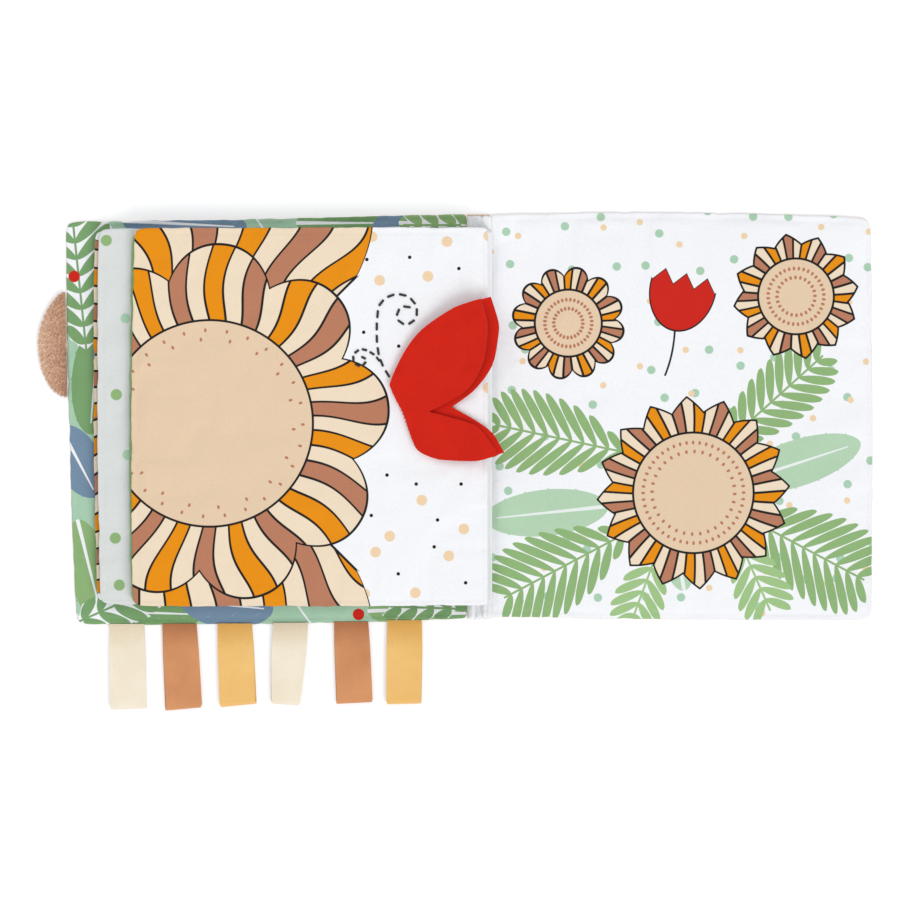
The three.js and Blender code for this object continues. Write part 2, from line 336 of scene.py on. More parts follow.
def panel(name, corners, low, high, spine_side, bow, seed, base_flat):
    """A padded square of two cloths sewn round its edge: a grid given a thickness, its points
    then moved to the outline, the swell of the filling and the puckers of the seam."""
    cells = 72
    bpy.ops.object.select_all(action="DESELECT")
    bpy.ops.mesh.primitive_grid_add(x_subdivisions=cells, y_subdivisions=cells, size=2)
    pad = bpy.context.active_object
    pad.name = name
    thick = pad.modifiers.new("wadding", "SOLIDIFY")
    thick.thickness, thick.offset = 0.1, 0
    bpy.ops.object.modifier_apply(modifier=thick.name)
    mesh = pad.data
    co = np.array([v.co for v in mesh.vertices])
    s, t, up = co[:, 0], co[:, 1], co[:, 2] > 0
    (ax, ay), (bx, by), (cx, cy), (dx, dy) = corners
    side = 1 if spine_side == "right" else -1
    most_crease = 0.6
    round_off = np.where(s * side > 0, 0.004, 0.013)
    s2 = s * (1 - round_off * np.abs(t) ** 34)
    t2 = t * (1 - round_off * np.abs(s) ** 34)
    u, v = (s2 + 1) / 2, (t2 + 1) / 2
    x = (1 - u) * (1 - v) * ax + u * (1 - v) * bx + u * v * cx + (1 - u) * v * dx
    y = (1 - u) * (1 - v) * ay + u * (1 - v) * by + u * v * cy + (1 - u) * v * dy
    half_wide, half_tall = (bx - ax) / 2, (cy - by) / 2
    fore_bow, top_bow, foot_bow = bow
    x = x + fore_bow * s * (1 - t**2) * (s * side < 0)
    y = y + np.where(t > 0, top_bow, foot_bow) * t * (1 - s**2)
    from_side, from_end = (1 - np.abs(s)) * half_wide, (1 - np.abs(t)) * half_tall
    inward = np.minimum(from_side, from_end)
    along = np.where(from_side < from_end, y, x)
    clear_of_corner = 1 - np.exp(-np.abs(from_side - from_end) / 7)
    wave = clear_of_corner * np.array([noise.noise(Vector((a * 0.13, seed, 0.5))) for a in along])
    fine = clear_of_corner * np.array([noise.noise(Vector((a * 0.35, seed + 7, 1.5))) for a in along])
    near = np.exp(-inward / 2.5)
    inset = (0.75 * wave + 0.45 * fine) * near
    x = x - np.where(np.abs(s) > np.abs(t), np.sign(s), 0) * np.abs(inset) * (s * side < 0.5)
    y = y - np.where(np.abs(t) >= np.abs(s), np.sign(t), 0) * np.abs(inset)
    swell = (1 - np.abs(s) ** 5) * (1 - np.abs(t) ** 5)
    swell = swell * (1 - 0.35 * np.exp(-(((inward - 3.0) / 1.6) ** 2)))
    soft = np.array([
        noise.noise(Vector((a * 0.028, b * 0.028, seed))) * 0.6
        + noise.noise(Vector((a * 0.09, b * 0.07, seed + 3))) * 0.4
        for a, b in zip(x, y)
    ])
    radial = (0.5 * wave + 0.35 * fine) * np.exp(-inward / 9) * (1 - np.exp(-inward / 1.2))
    seam_high = 1.1
    if base_flat:
        top = low + seam_high + (high - low - seam_high) * swell + soft * 0.35 * swell + radial * 0.5
        bottom = low + 0.35 * near
        z = np.where(up, np.minimum(top, high + most_crease), bottom)
    else:
        middle, half, edge_half = (low + high) / 2, (high - low) / 2, 0.5
        body = edge_half + (half - edge_half) * swell
        shift = soft * 0.25 * swell + radial * 0.35
        z = middle + np.where(up, body, -body) + shift
    co = np.stack([x, y, z], axis=1) / 1000
    mesh.vertices.foreach_set("co", co.astype(np.float32).ravel())
    mesh.update()
    share = (0.4 + 0.6 * np.exp(-inward / 14)) * np.where(up, 1, 0 if base_flat else 0.6)
    creases = settle(pad, s, t, up, inward, cells) * share
    co[:, 2] = (z + np.clip(creases, -most_crease, most_crease)) / 1000
    mesh.vertices.foreach_set("co", co.astype(np.float32).ravel())
    seam = mesh.uv_layers.new(name="seam")
    loops = np.empty(len(mesh.loops), np.int32)
    mesh.loops.foreach_get("vertex_index", loops)
    pairs = np.stack([inward[loops], inward[loops]], axis=1) / 1000
    seam.data.foreach_set("uv", pairs.astype(np.float32).ravel())
    mesh.update()
    finer = pad.modifiers.new("cloth", "SUBSURF")
    finer.levels = finer.render_levels = 1
    bpy.ops.object.modifier_apply(modifier=finer.name)
    bpy.ops.object.shade_smooth()
    return pad


def two_faced(pad, face, back):
    """The upper cloth has one print and the under cloth another; they meet at the seam."""
    pad.data.materials.clear()
    pad.data.materials.append(face)
    pad.data.materials.append(back)
    normals = np.empty(len(pad.data.polygons) * 3)
    pad.data.polygons.foreach_get("normal", normals)
    under = (normals[2::3] < -0.05).astype(np.int32)
    pad.data.polygons.foreach_set("material_index", under)


outer_print = woven("outer_cotton", plain(BEIGE))
cover_print = woven("tropical_print", tropical)
cover_thick = 4.1
front_corners = ((-176.8, -93.2), (-1.4, -90.7), (-1.4, 91.4), (-181.5, 87.8))
front_bow = (0.9, -0.4, 1.1)
front_cover = panel("front_cover_pad", front_corners, 0, cover_thick, "right", front_bow, 1.0, True)
two_faced(front_cover, cover_print, outer_print)
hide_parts("front_cover_outer_cloth", "front_cover_film",
            "front_cover_wadding", "front_cover_lining")
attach(front_cover, "front_cover")

# BACK COVER
# Made as the front cover is. Its inner face is the large white page of the last spread,
# printed with striped flowers, fronds and dots. It folds over onto the leaves.

ORANGE, BROWN, LINE_CREAM = shade("#e88f00"), shade("#b97c5f"), shade("#efdcc2")
BLACK, PEACH = shade("#161616"), shade("#f1d3ad")
PALE_SAGE, FROND_GREEN = shade("#b4d3b4"), shade("#a0c487")


def flower(tree, colour, x, y, x0, y0, disc, tip, petals, bands, turn, waves,
           round_off=2.2, bare=0.0, heart=True):
    """A flower head with a plain disc and striped petals, each stripe drawn round in black; it
    can have a bare sector, given in degrees to each side of its own x axis, with no petals."""
    u, v = spread(x, y, x0, y0, turn)
    far = length(u, v)
    angle = v.work("ARCTAN2", u) / math.tau
    petal = ((angle * petals + 0.5).part() - 0.5).size() * 2
    rim = (petal.to_the(round_off) * -1 + 1) * (tip - disc) * 0.42 + (disc + (tip - disc) * 0.58)
    band = (angle * petals + 0.5) * bands + (far * 0.11 + angle * math.tau * 3).sine() * waves
    share = band.part()
    order = (band.whole() / 4).part()
    body = (far - rim).below(0)
    outline = (far - rim).size().below(0.55)
    if bare:
        kept = (angle.size() - bare / 360).work("GREATER_THAN", 0)
        flank = ((angle.size() - bare / 360) * far * math.tau).size().below(0.55) * body
        body, outline = body * kept, (outline * kept).most(flank)
    colour = over(tree, colour, LINE_CREAM, body)
    colour = over(tree, colour, ORANGE, body * (order - 0.125).below(0, 0.01))
    colour = over(tree, colour, BROWN, body * ((order - 0.5).size() - 0.1).below(0, 0.01))
    width = far * (math.tau / (petals * bands))
    line = ((share - 0.5).size() * -1 + 0.5) * width
    colour = over(tree, colour, BLACK, body * line.below(0.5))
    colour = over(tree, colour, BLACK, outline)
    if not heart:
        return colour
    colour = over(tree, colour, BLACK, (far - disc).below(0.5))
    colour = over(tree, colour, BEIGE, (far - disc).below(-0.5))
    for ring, count in ((disc - 4.5, petals * 3), (disc - 8.5, petals * 2)):
        step = ((angle * count).part() - 0.5) * (math.tau * ring / count)
        colour = over(tree, colour, BROWN, length(step * 1.5, far - ring).below(0.9))
    return colour


def meadow(tree, x, y, z):
    """The last page: mint and peach dots, fronds from the foot, and striped flowers."""
    colour = over(tree, PAGE_WHITE, MINT, scatter(tree, x, y, 21.0, 1.9, 11.0))
    colour = over(tree, colour, PEACH, scatter(tree, x, y, 25.0, 1.45, 57.0))
    for x0, y0, turn, long, wide in (
        (62, -40, 186, 56, 13), (118, -30, 18, 60, 13), (96, -78, 100, 40, 10),
    ):
        shape, rib = broad_leaf(x, y, x0, y0, turn, long, wide)
        colour = over(tree, colour, PALE_SAGE, shape)
        colour = over(tree, colour, PAGE_WHITE, rib * 0.8)
    for x0, y0, turn, long, wide, ink in (
        (70, -16, 168, 60, 19, SAGE), (70, -52, 208, 62, 20, SAGE), (112, -14, 42, 62, 15, SAGE),
        (122, -44, -28, 62, 21, SAGE), (84, -60, 250, 34, 12, FROND_GREEN),
        (120, -54, -66, 36, 13, FROND_GREEN),
    ):
        colour = over(tree, colour, ink, frond(x, y, x0, y0, turn, long, wide, 5.6)[0])
    for x0, y0, disc, tip, petals, turn, round_off in (
        (100, -34, 27, 43, 16, 4, 1.0), (44, 42, 15, 25, 12, 20, 2.2), (146, 54, 17, 28, 12, 9, 1.0),
    ):
        colour = flower(tree, colour, x, y, x0, y0, disc, tip, petals, 3, turn, 0.15, round_off)
    # a red tulip on a black stem, near the top edge
    u, v = spread(x, y, 92, 44, -14)
    stem = ((u + (v * 0.09).sine() * 2.2).size() - 0.45).below(0) * (v - 2).below(0) * (-v - 26).below(0)
    colour = over(tree, colour, BLACK, stem)
    cup = length(u, (v - 14) * 0.76)
    teeth = ((u / 9.6).part() - 0.5).size() * 12 + 14.5
    for ink, grow in ((BLACK, 0.6), (RED, 0.0)):
        colour = over(tree, colour, ink, (cup - 14.4 - grow).below(0) * (v - teeth - grow).below(0))
    return colour


meadow_print = woven("meadow_print", meadow)
back_corners = ((8.6, -89.8), (180.2, -91.0), (179.8, 89.5), (8.6, 91.0))
back_bow = (0.6, 1.6, 0.5)
back_cover = panel("back_cover_pad", back_corners, 0, cover_thick, "left", back_bow, 5.0, True)
two_faced(back_cover, meadow_print, outer_print)
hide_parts("back_cover_outer_cloth", "back_cover_film",
            "back_cover_wadding", "back_cover_lining")
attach(back_cover, "back_cover")

# SPINE
# The outer cotton runs on under the spine, and the white lining is gathered above it in
# loose folds, which show at the two ends of the gutter.


def long_sheet(name, profile, y_low, y_high, thick, material, crumple=0.0, cells=90, ragged=0.0):
    """Cloth that runs along the spine: a grid laid over a cross-section, given its thickness."""
    bpy.ops.object.select_all(action="DESELECT")
    across = len(profile) * 3 + 18
    bpy.ops.mesh.primitive_grid_add(x_subdivisions=across, y_subdivisions=cells, size=2)
    sheet = bpy.context.active_object
    sheet.name = name
    co = np.array([v.co for v in sheet.data.vertices])
    points = np.array(profile, float)
    run = np.concatenate([[0], np.cumsum(np.linalg.norm(np.diff(points, axis=0), axis=1))])
    at = (co[:, 0] + 1) / 2 * run[-1]
    x, z = np.interp(at, run, points[:, 0]), np.interp(at, run, points[:, 1])
    end = co[:, 1] * (1 + ragged * np.array([noise.noise(Vector((a * 0.55, 3.0, 1.0))) for a in at]))
    y = y_low + (end + 1) / 2 * (y_high - y_low)
    bend = np.array([noise.noise(Vector((a * 0.16, b * 0.5, 2.0))) for a, b in zip(y, at)])
    small = np.array([noise.noise(Vector((a * 0.4, b * 0.6, 5.0))) for a, b in zip(y, at)])
    held = np.minimum(1, 4 * (1 - np.abs(co[:, 0])))
    z = z + (bend + small * 0.7) * crumple * held
    x = x + (bend * 0.6 + small * 0.5) * crumple * held
    co = np.stack([x, y, z], axis=1) / 1000
    sheet.data.vertices.foreach_set("co", co.astype(np.float32).ravel())
    sheet.data.update()
    body = sheet.modifiers.new("cloth", "SOLIDIFY")
    body.thickness, body.offset = thick / 1000, 0
    bpy.ops.object.modifier_apply(modifier=body.name)
    bpy.ops.object.shade_smooth()
    sheet.data.materials.append(material)
    return sheet, run[-1] / 1000


outer_run = ((-1.2, 1.0), (-1.1, 0.4), (2, 0.3), (5, 0.3), (8.3, 0.4), (8.4, 1.0))
spine_cotton = woven("spine_cotton", plain(BEIGE), stitch=False)
spine_outer, spine_run = long_sheet("spine_outer_cotton", outer_run, -89.4, 90.8, 0.5, spine_cotton)
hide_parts("spine_cloth")
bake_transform(spine_outer)
white_cotton = woven("white_cotton", plain(PAGE_WHITE), stitch=False, wrinkle=0.8)
gathers = ((-1.2, 1.3), (-0.4, 2.6), (0.8, 3.0), (2.0, 2.2), (3.2, 2.9), (4.3, 2.0), (5.8, 2.8),
           (7.0, 2.7), (8.4, 2.9), (9.5, 2.0))
spine_gather, gather_run = long_sheet(
    "spine_gathered_lining", gathers, -90.4, 90.0, 0.4, white_cotton, 0.8, 170, 0.010)
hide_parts("spine_lining")
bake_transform(spine_gather)

# LEAVES
# Four padded leaves of printed cotton with crinkle film inside, sewn along the spine.
# Each lies on the one below, and the top one carries the picture and the felt butterfly.

# the first of these is painted shade: grey-white where the second leaf's page lies in the shade of the
# leaves above
STRIP_SHADE_GREY, GROVE_GROUND = shade("#dbdedc"), shade("#dfe9dc")


def stripes(tree, x, y, z):
    """Bold stripes of orange, brown and cream that fan out, each drawn round in black."""
    colour = over(tree, PAGE_WHITE, MINT, scatter(tree, x, y, 24.0, 4.4, 20.0))
    return flower(tree, colour, x, y, -60, 0, 34, 172, 14, 7, 0, 0.5)


def dotted(ground, ink, pitch, radius, shift, second=None):
    def paint(tree, x, y, z):
        colour = over(tree, ground, ink, scatter(tree, x, y, pitch, radius, shift))
        if second:
            colour = over(tree, colour, second, scatter(tree, x, y, pitch * 1.3, radius * 0.6, shift + 30))
        return colour

    return paint


def strip_page(tree, x, y, z):
    """A page painted grey-white all over as painted shade of the leaves above it, with sage dots down its
    fore edge.
    """
    colour = STRIP_SHADE_GREY
    for x0, y0, r, ink in (
        (-162.5, 78.8, 2.5, SAGE), (-158, 9.9, 2.5, SAGE), (-158.5, -54.2, 2.5, SAGE),
        (-156.7, -75.2, 2.5, SAGE), (-153, -17, 2.3, MINT), (-154, 44, 2.2, MINT),
    ):
        colour = over(tree, colour, ink, length(*spread(x, y, x0, y0)).below(r, 0.3))
    shape = scatter(tree, x, y, 27.0, 3.0, 15.0) * (-x).below(148)
    colour = over(tree, colour, SAGE, shape)
    return flower(tree, colour, x, y, -74, 2, 22, 46, 9, 3, 0, 0.3)


def sun_page(tree, x, y, z):
    """The picture page: a great half flower of striped petals, with dots on the white beside it."""
    colour = PAGE_WHITE
    for x0, y0 in (
        (-43.7, 80.2), (-40.3, 60.7), (-18.8, 62.5), (-10.3, 78), (-42.1, -60.3), (-35.8, -53.2),
        (-21.5, -37.2), (-9.5, -62), (-24.4, -78.5), (-2.8, -50), (-47, -79), (8.1, 12.9), (8.3, 80.6),
    ):
        colour = over(tree, colour, PEACH, length(*spread(x, y, x0, y0)).below(2.4, 0.3))
    for x0, y0 in (
        (-26.9, 71), (-47.4, 37.6), (-5, 66), (-31.8, 31.4), (-24, -30), (-37, -26), (-14.5, -46),
        (-32, -70), (-2, -74), (-16, -58), (-4, -30), (-44, -44), (-46, 70),
    ):
        colour = over(tree, colour, BLACK, length(*spread(x, y, x0, y0)).below(0.8, 0.2))
    colour = flower(tree, colour, x, y, -116, -3, 46, 126, 12, 4, 0, 0.3, bare=45, heart=False)
    return flower(tree, colour, x, y, -116, -3, 46, 80, 9, 5, 6, 0.3)


def grove(tree, x, y, z):
    """Fronds and berries on a pale ground, for the backs of the leaves."""
    colour = over(tree, GROVE_GROUND, PALE_SAGE, scatter(tree, x, y, 30.0, 5.0, 9.0))
    for x0, y0, turn, long, wide, ink in (
        (-150, -80, 60, 70, 18, SAGE), (-90, -84, 95, 76, 20, LEAF_GREEN),
        (-30, -82, 120, 70, 18, SAGE), (-140, 84, -60, 60, 16, LEAF_GREEN), (-60, 84, -100, 60, 16, SAGE),
    ):
        colour = over(tree, colour, ink, frond(x, y, x0, y0, turn, long, wide, 5.5)[0])
    return colour


def edged(paint, edge, ink):
    """A page whose fore edge is rolled over by the cloth of its other side."""
    return lambda tree, x, y, z: over(tree, paint(tree, x, y, z), ink, (x - edge).below(0))


leaf_faces = (
    (stripes, dotted(SLATE, PALE_SAGE, 22.0, 3.0, 4.0)),
    (strip_page, grove),
    (edged(dotted(PAGE_WHITE, MINT, 26.0, 4.0, 8.0, PEACH), -149.7, SAGE),
     dotted(SAGE, PAGE_WHITE, 20.0, 2.2, 3.0)),
    (sun_page, dotted(PAGE_WHITE, PEACH, 24.0, 3.4, 31.0, MINT)),
)
leaf_corners = (
    ((-167.2, -83.0), (3.9, -82.6), (3.9, 83.0), (-168.2, 83.6)),
    ((-165.6, -84.0), (4.7, -83.2), (4.7, 83.8), (-166.2, 84.4)),
    ((-151.6, -83.7), (7.2, -83.6), (7.2, 84.2), (-151.0, 83.5)),
    ((-150.6, -84.6), (8.0, -84.2), (8.0, 84.6), (-149.9, 84.3)),
)
lowest_leaf, leaf_step, leaf_thick = 4.4, 3.1, 2.8
leaf_bow = (1.0, 0.2, 0.4)
for number in range(1, 5):
    low = lowest_leaf + (number - 1) * leaf_step
    face, back = leaf_faces[number - 1]
    leaf = panel(f"leaf_{number}_pad", leaf_corners[number - 1], low, low + leaf_thick, "right", leaf_bow,
                 10.0 + 4 * number, False)
    two_faced(leaf, woven(f"leaf_{number}_face_print", face), woven(f"leaf_{number}_back_print", back))
    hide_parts(f"leaf_{number}_back_cloth", f"leaf_{number}_film", f"leaf_{number}_front_cloth")
    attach(leaf, f"leaf_{number}")
    if number > 1:
        right = leaf_corners[number - 1][1][0]
        foot, head = 3.8, low + 0.6
        tall = head - foot
        fall = ((right - 0.9, foot), (right - 0.3, foot + tall * 0.3),
                (right - 0.1, foot + tall * 0.7), (right - 0.35, head))
        if number == 4:  # the top leaf's cloth rolls over onto the edge of the last page
            fall = ((right + 1.8, 2.9), (right + 1.3, 3.5), (right + 0.8, 5.2), (right + 0.5, 9.0),
                    (right + 0.1, 12.0), (right - 0.35, head))
        y_end = leaf_corners[number - 1][1][1] + 0.8
        gutter, fall_run = long_sheet(f"leaf_{number}_gutter_fall", fall, y_end, -y_end, 0.4,
                                      white_cotton, 0.12)
        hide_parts(f"leaf_{number}_gutter_cloth")
        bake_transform(gutter)
        if fall_run > 0.01:
            -2 * y_end / 1000

# BUTTERFLY
# Two layers of red wool felt, cut as one side of a butterfly and sewn to the top leaf along
# the body only, so that both lift. Its feelers are stitched on the page in black thread.

felt_red, felt_tree, felt_shader, felt_where = new_finish("red_wool_felt", 0.95, 0.15, 0.06)
felt_shader.inputs["Sheen Roughness"].default_value = 0.6
fibres = cloudy(felt_tree, felt_where, 1500, 4)
mottle = fibres * 0.5 + cloudy(felt_tree, felt_where, 120, 3) * 0.5
mottle = mottle.work("MULTIPLY_ADD", 1.4, -0.2).held()
felt_colour = over(felt_tree, shade("#c21a0c"), shade("#dc2410"), mottle)
felt_tree.links.new(felt_colour, felt_shader.inputs["Base Color"])
raise_surface(felt_tree, felt_shader, fibres, 0.5, 0.0005)

felt_thick = 1.2
body_x, body_y = -31.7, 2.55  # on the butterfly's body, where the felt is sewn
away_x, away_y = 0.9417, 0.3366  # the way its wings point from there
lower_wings = (
    (-35.2, 15.7), (-34.9, 11.9), (-32.4, 6.5), (-29.6, 0.9), (-25.5, -10.5), (-22.7, -15.2),
    (-15.9, -18.4), (-10.3, -19.3), (3.4, -19.5), (15.2, -16.0), (10.3, -7.7), (2.2, -1.5),
    (-8.1, 4.3), (1.2, 11.1), (9.7, 22.5), (12.5, 35.6), (12.5, 42.5), (9.2, 53.3),
    (0.0, 50.9), (-8.6, 47.5), (-21.5, 38.3), (-29.5, 28.1),
)
upper_wings = (
    (-35.4, 15.7), (-35.0, 11.9), (-32.5, 6.5), (-29.6, 0.9), (-25.7, -10.6), (-22.8, -15.4),
    (-15.9, -18.6), (-10.3, -19.4), (3.4, -19.7), (12.3, -17.2), (10.3, -13.4), (4.0, -5.2),
    (-1.1, -2.6), (-8.0, -0.6), (-18.2, 2.2), (-9.7, 6.5), (-1.1, 12.2), (5.1, 22.5),
    (7.2, 32.8), (7.4, 42.5), (4.6, 52.3), (0.0, 51.0), (-8.6, 47.6), (-21.7, 38.5), (-29.6, 28.2),
)


def smooth_outline(points, sharp):
    """The cut line of the felt: a curve through its points, turning sharply only at the tips."""
    ring = [Vector(p) for p in points]
    steps = 5
    out = []
    for i, here in enumerate(ring):
        last, nxt, after = ring[i - 1], ring[(i + 1) % len(ring)], ring[(i + 2) % len(ring)]
        a = here if i in sharp else last
        b = nxt if (i + 1) % len(ring) in sharp else after
        for k in range(steps):
            q = k / steps
            p = 0.5 * (2 * here + (nxt - a) * q + (2 * a - 5 * here + 4 * nxt - b) * q**2
                       + (3 * here - a - 3 * nxt + b) * q**3)
            if a == here or b == nxt:
                p = here.lerp(nxt, q) * 0.5 + p * 0.5
            out.append(p)
    return out


def felt_layer(name, points, sharp, low, lift):
    """One layer of felt: its outline filled with a fine net of faces, given its thickness, and
    let rise gently towards the wing tips as felt that has been handled does."""
    mesh = bpy.data.meshes.new(name)
    wing = bpy.data.objects.new(name, mesh)
    bpy.context.scene.collection.objects.link(wing)
    bm = bmesh.new()
    outline = smooth_outline(points, sharp)
    bm.faces.new([bm.verts.new((p.x, p.y, 0)) for p in outline])
    bm.normal_update()
    bmesh.ops.triangulate(bm, faces=bm.faces)
    for axis, start in (((1, 0, 0), -36), ((0, 1, 0), -20)):
        for step in range(30):
            plane = start + 2.5 * step + 1.1
            bmesh.ops.bisect_plane(bm, geom=bm.verts[:] + bm.edges[:] + bm.faces[:],
                                   plane_co=(plane if axis[0] else 0, plane if axis[1] else 0, 0),
                                   plane_no=axis)
    bmesh.ops.remove_doubles(bm, verts=bm.verts, dist=0.05)
    for v in bm.verts:
        off = (v.co.x - body_x) * away_x + (v.co.y - body_y) * away_y
        wave = noise.noise(Vector((v.co.x * 0.06, v.co.y * 0.06, low)))
        rise = lift * (max(off, 0) / 45) ** 2 + 0.25 * wave
        v.co.z = low + felt_thick / 2 + rise
        v.co /= 1000
    bmesh.ops.recalc_face_normals(bm, faces=bm.faces)
    if sum(f.normal.z * f.calc_area() for f in bm.faces) < 0:
        bmesh.ops.reverse_faces(bm, faces=bm.faces)
    area = sum(f.calc_area() for f in bm.faces)
    bm.to_mesh(mesh)
    bm.free()
    bpy.ops.object.select_all(action="DESELECT")
    bpy.context.view_layer.objects.active = wing
    wing.select_set(True)
    thick = wing.modifiers.new("felt", "SOLIDIFY")
    thick.thickness, thick.offset = felt_thick / 1000, 0
    bpy.ops.object.modifier_apply(modifier=thick.name)
    bpy.ops.object.shade_smooth_by_angle(angle=math.radians(40))
    mesh.materials.append(felt_red)
    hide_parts(f"butterfly_{name}")
    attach(wing, name)
    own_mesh(wing)


felt_layer("lower_wings", lower_wings, {9, 12, 17}, low=16.8, lift=2.0)
felt_layer("upper_wings", upper_wings, {9, 14, 20}, low=18.3, lift=4.6)


def stitches(name, pairs, thick, material):
    """A row of thread stitches on the top leaf, each from one hole to the next: one rounded
    stitch is modelled, and copied along each line."""
    bpy.ops.object.select_all(action="DESELECT")
    bpy.ops.mesh.primitive_cylinder_add(vertices=8, radius=1, depth=2, rotation=(0, math.pi / 2, 0))
    bpy.ops.object.transform_apply(rotation=True)
    stitch = bpy.context.active_object
    stitch.name = name
    bpy.ops.object.mode_set(mode="EDIT")
    bpy.ops.mesh.select_all(action="SELECT")
    bpy.ops.mesh.bevel(offset=0.3, segments=2, affect="EDGES", offset_type="OFFSET")
    bpy.ops.object.mode_set(mode="OBJECT")
    shape = np.array([v.co for v in stitch.data.vertices])
    faces = [tuple(p.vertices) for p in stitch.data.polygons]
    points, polygons = [], []
    for start, end in pairs:
        way = end - start
        side = Vector((-way.y, way.x, 0)).normalized()
        top = way.cross(side).normalized()
        base = len(points)
        for a, b, c in shape:
            bow = (1 - a * a) * thick * 0.3
            at = start.lerp(end, (a + 1) / 2) + side * (b * thick / 2) + top * (c * thick / 2 + bow)
            points.append(at / 1000)
        polygons += [tuple(base + i for i in f) for f in faces]
    stitch.data.clear_geometry()
    stitch.data.from_pydata(points, [], polygons)
    stitch.data.materials.clear()
    stitch.data.materials.append(material)
    bpy.ops.object.shade_smooth()
    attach(stitch, "leaf_4")
    return stitch


def thread(name, ink):
    """Twisted sewing thread: fine slanting strands with a soft shine."""
    material, tree, shader, where = new_finish(name, 0.6, sheen=0.2)
    strand = tree.nodes.new("ShaderNodeTexWave")
    strand.inputs["Scale"].default_value = 2500
    strand.inputs["Distortion"].default_value = 2
    tree.links.new(where, strand.inputs["Vector"])
    dark = tuple(c * 0.6 for c in ink)
    tree.links.new(over(tree, dark, ink, Ink(tree, strand.outputs["Fac"])), shader.inputs["Base Color"])
    return material


def curl(x0, y0, turns, start, size, way, lead, drift=0.0):
    """Points along a feeler: a lead line from the body, and then a spiral that winds inwards."""
    path = [Vector(p) for p in lead]
    for k in range(1, 40):
        q = k / 39
        a = start + way * turns * math.tau * q
        r = size * (1 - q * 0.92) ** 1.1
        path.append(Vector((x0 + drift * q + r * math.cos(a), y0 + r * math.sin(a))))
    return path


def dashes(path, long, gap):
    """Running stitches along a path on the top leaf: where each goes in and comes out."""
    pairs, walked, due, start = [], 0.0, 0.0, None
    for a, b in zip(path, path[1:]):
        d = (b - a).length
        while walked + d >= due:
            p = a.lerp(b, (due - walked) / d)
            p = Vector((p.x, p.y, on_top_leaf(p.x, p.y)))
            if start is None:
                start, due = p, due + long
            else:
                pairs.append((start, p))
                start, due = None, due + gap
        walked += d
    return pairs


def on_top_leaf(x, y):
    hit, point, _, _ = leaf.ray_cast(Vector((x / 1000, y / 1000, 0.1)), Vector((0, 0, -1)))
    return point.z * 1000 + 0.1 if hit else 15.9


tall_lead = ((-35.9, 17.6), (-38.6, 22.0), (-40.6, 27.0), (-41.5, 33.0), (-41.6, 41.0))
short_lead = ((-40.2, 24.6), (-42.4, 27.4))
feelers = dashes(curl(-32.0, 46.4, 1.7, math.pi, 9.6, -1, tall_lead, drift=6.0), long=3.5, gap=2.0)
feelers += dashes(curl(-48.4, 25.4, 1.45, 0.9, 5.0, 1, short_lead), long=2.5, gap=1.3)
stitches("feeler_stitches", feelers, 1.15, thread("black_thread", BLACK))
# small stitches from the page up into the under side of the felt, hidden below its edge
whips = []
for q in np.linspace(0.04, 0.96, 14):
    x, y = -35.0 + 9.3 * q, 14.2 - 24.6 * q
    whips.append((Vector((x - 0.2, y, on_top_leaf(x, y))), Vector((x + 1.3, y + 0.5, 17.1))))
body_stitches = stitches("butterfly_body_stitches", whips, 0.45, thread("red_thread", RED))
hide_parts("butterfly_stitches")

# PLUSH LOBE
# A flat brown plush ear sewn into the fore edge of the front cover, lightly stuffed, with a
# short pile that hides its seam.


lobe_long, lobe_wide, lobe_middle = 23.5, 12.3, 32.6
cover_tall, cover_middle, edge_lean = 181.0, -2.7, 4.7  # the edge that it is sewn into


def lobe_root(y):
    """Where the front cover's bowed fore edge runs, at a height up the page."""
    head_x, head_y = front_corners[3]
    t = (y - cover_middle) / (cover_tall / 2)
    return head_x + edge_lean * (head_y - y) / cover_tall - front_bow[0] * (1 - t * t) - 0.15


bpy.ops.object.select_all(action="DESELECT")
bpy.ops.mesh.primitive_uv_sphere_add(segments=48, ring_count=24, radius=1)
lobe = bpy.context.active_object
lobe.name = "plush_lobe"
for v in lobe.data.vertices:
    a, b, up = v.co
    y = lobe_middle + lobe_long * b
    point = 1 - 0.35 * max(b, 0) ** 2  # the ear comes to more of a point at its upper end
    x = lobe_root(y) + (lobe_wide * a * point if a < 0 else -0.15 * (1 - a))
    tucked = min(1.0, 0.45 + (lobe_root(y) - x) / 7)
    lump = 0.15 * noise.noise(Vector((x * 0.3, y * 0.3, 4)))
    z = 1.55 + math.copysign(1.6, up) * abs(up) ** 0.7 * tucked + lump * tucked
    v.co = (x / 1000, y / 1000, max(z, 0.05) / 1000)
lobe.data.update()
bpy.ops.object.shade_smooth()
plush, plush_tree, plush_shader, plush_where = new_finish("brown_plush", 0.95, sheen=0.6)
plush_shader.inputs["Sheen Roughness"].default_value = 0.5
nap = plush_tree.nodes.new("ShaderNodeMapping")
nap.vector_type = "TEXTURE"
nap.inputs["Rotation"].default_value = (0, 0, math.radians(62))
nap.inputs["Scale"].default_value = (3.4, 1, 1)
plush_tree.links.new(plush_where, nap.inputs["Vector"])
strands = cloudy(plush_tree, nap.outputs[0], 1900, 3)
streaks = strands.work("MULTIPLY_ADD", 2.4, -0.7).held()
# darker near the seam and paler towards the rim: partly the plush's own tone, partly painted shade from the
# cover's edge and painted light on the rim
from_seam = ((millimetres(plush_tree, plush_where)[0] * -1 + front_corners[3][0]) / 11).held()
deep = over(plush_tree, shade("#b98767"), shade("#e8b893"), streaks)
pale = over(plush_tree, shade("#ecba95"), shade("#ffe6cd"), streaks)
plush_tree.links.new(over(plush_tree, deep, pale, from_seam), plush_shader.inputs["Base Color"])
raise_surface(plush_tree, plush_shader, strands, 0.9, 0.0008)
lobe.data.materials.append(plush)
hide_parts("lobe_under_plush", "lobe_stuffing", "lobe_upper_plush")
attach(lobe, "lobe")

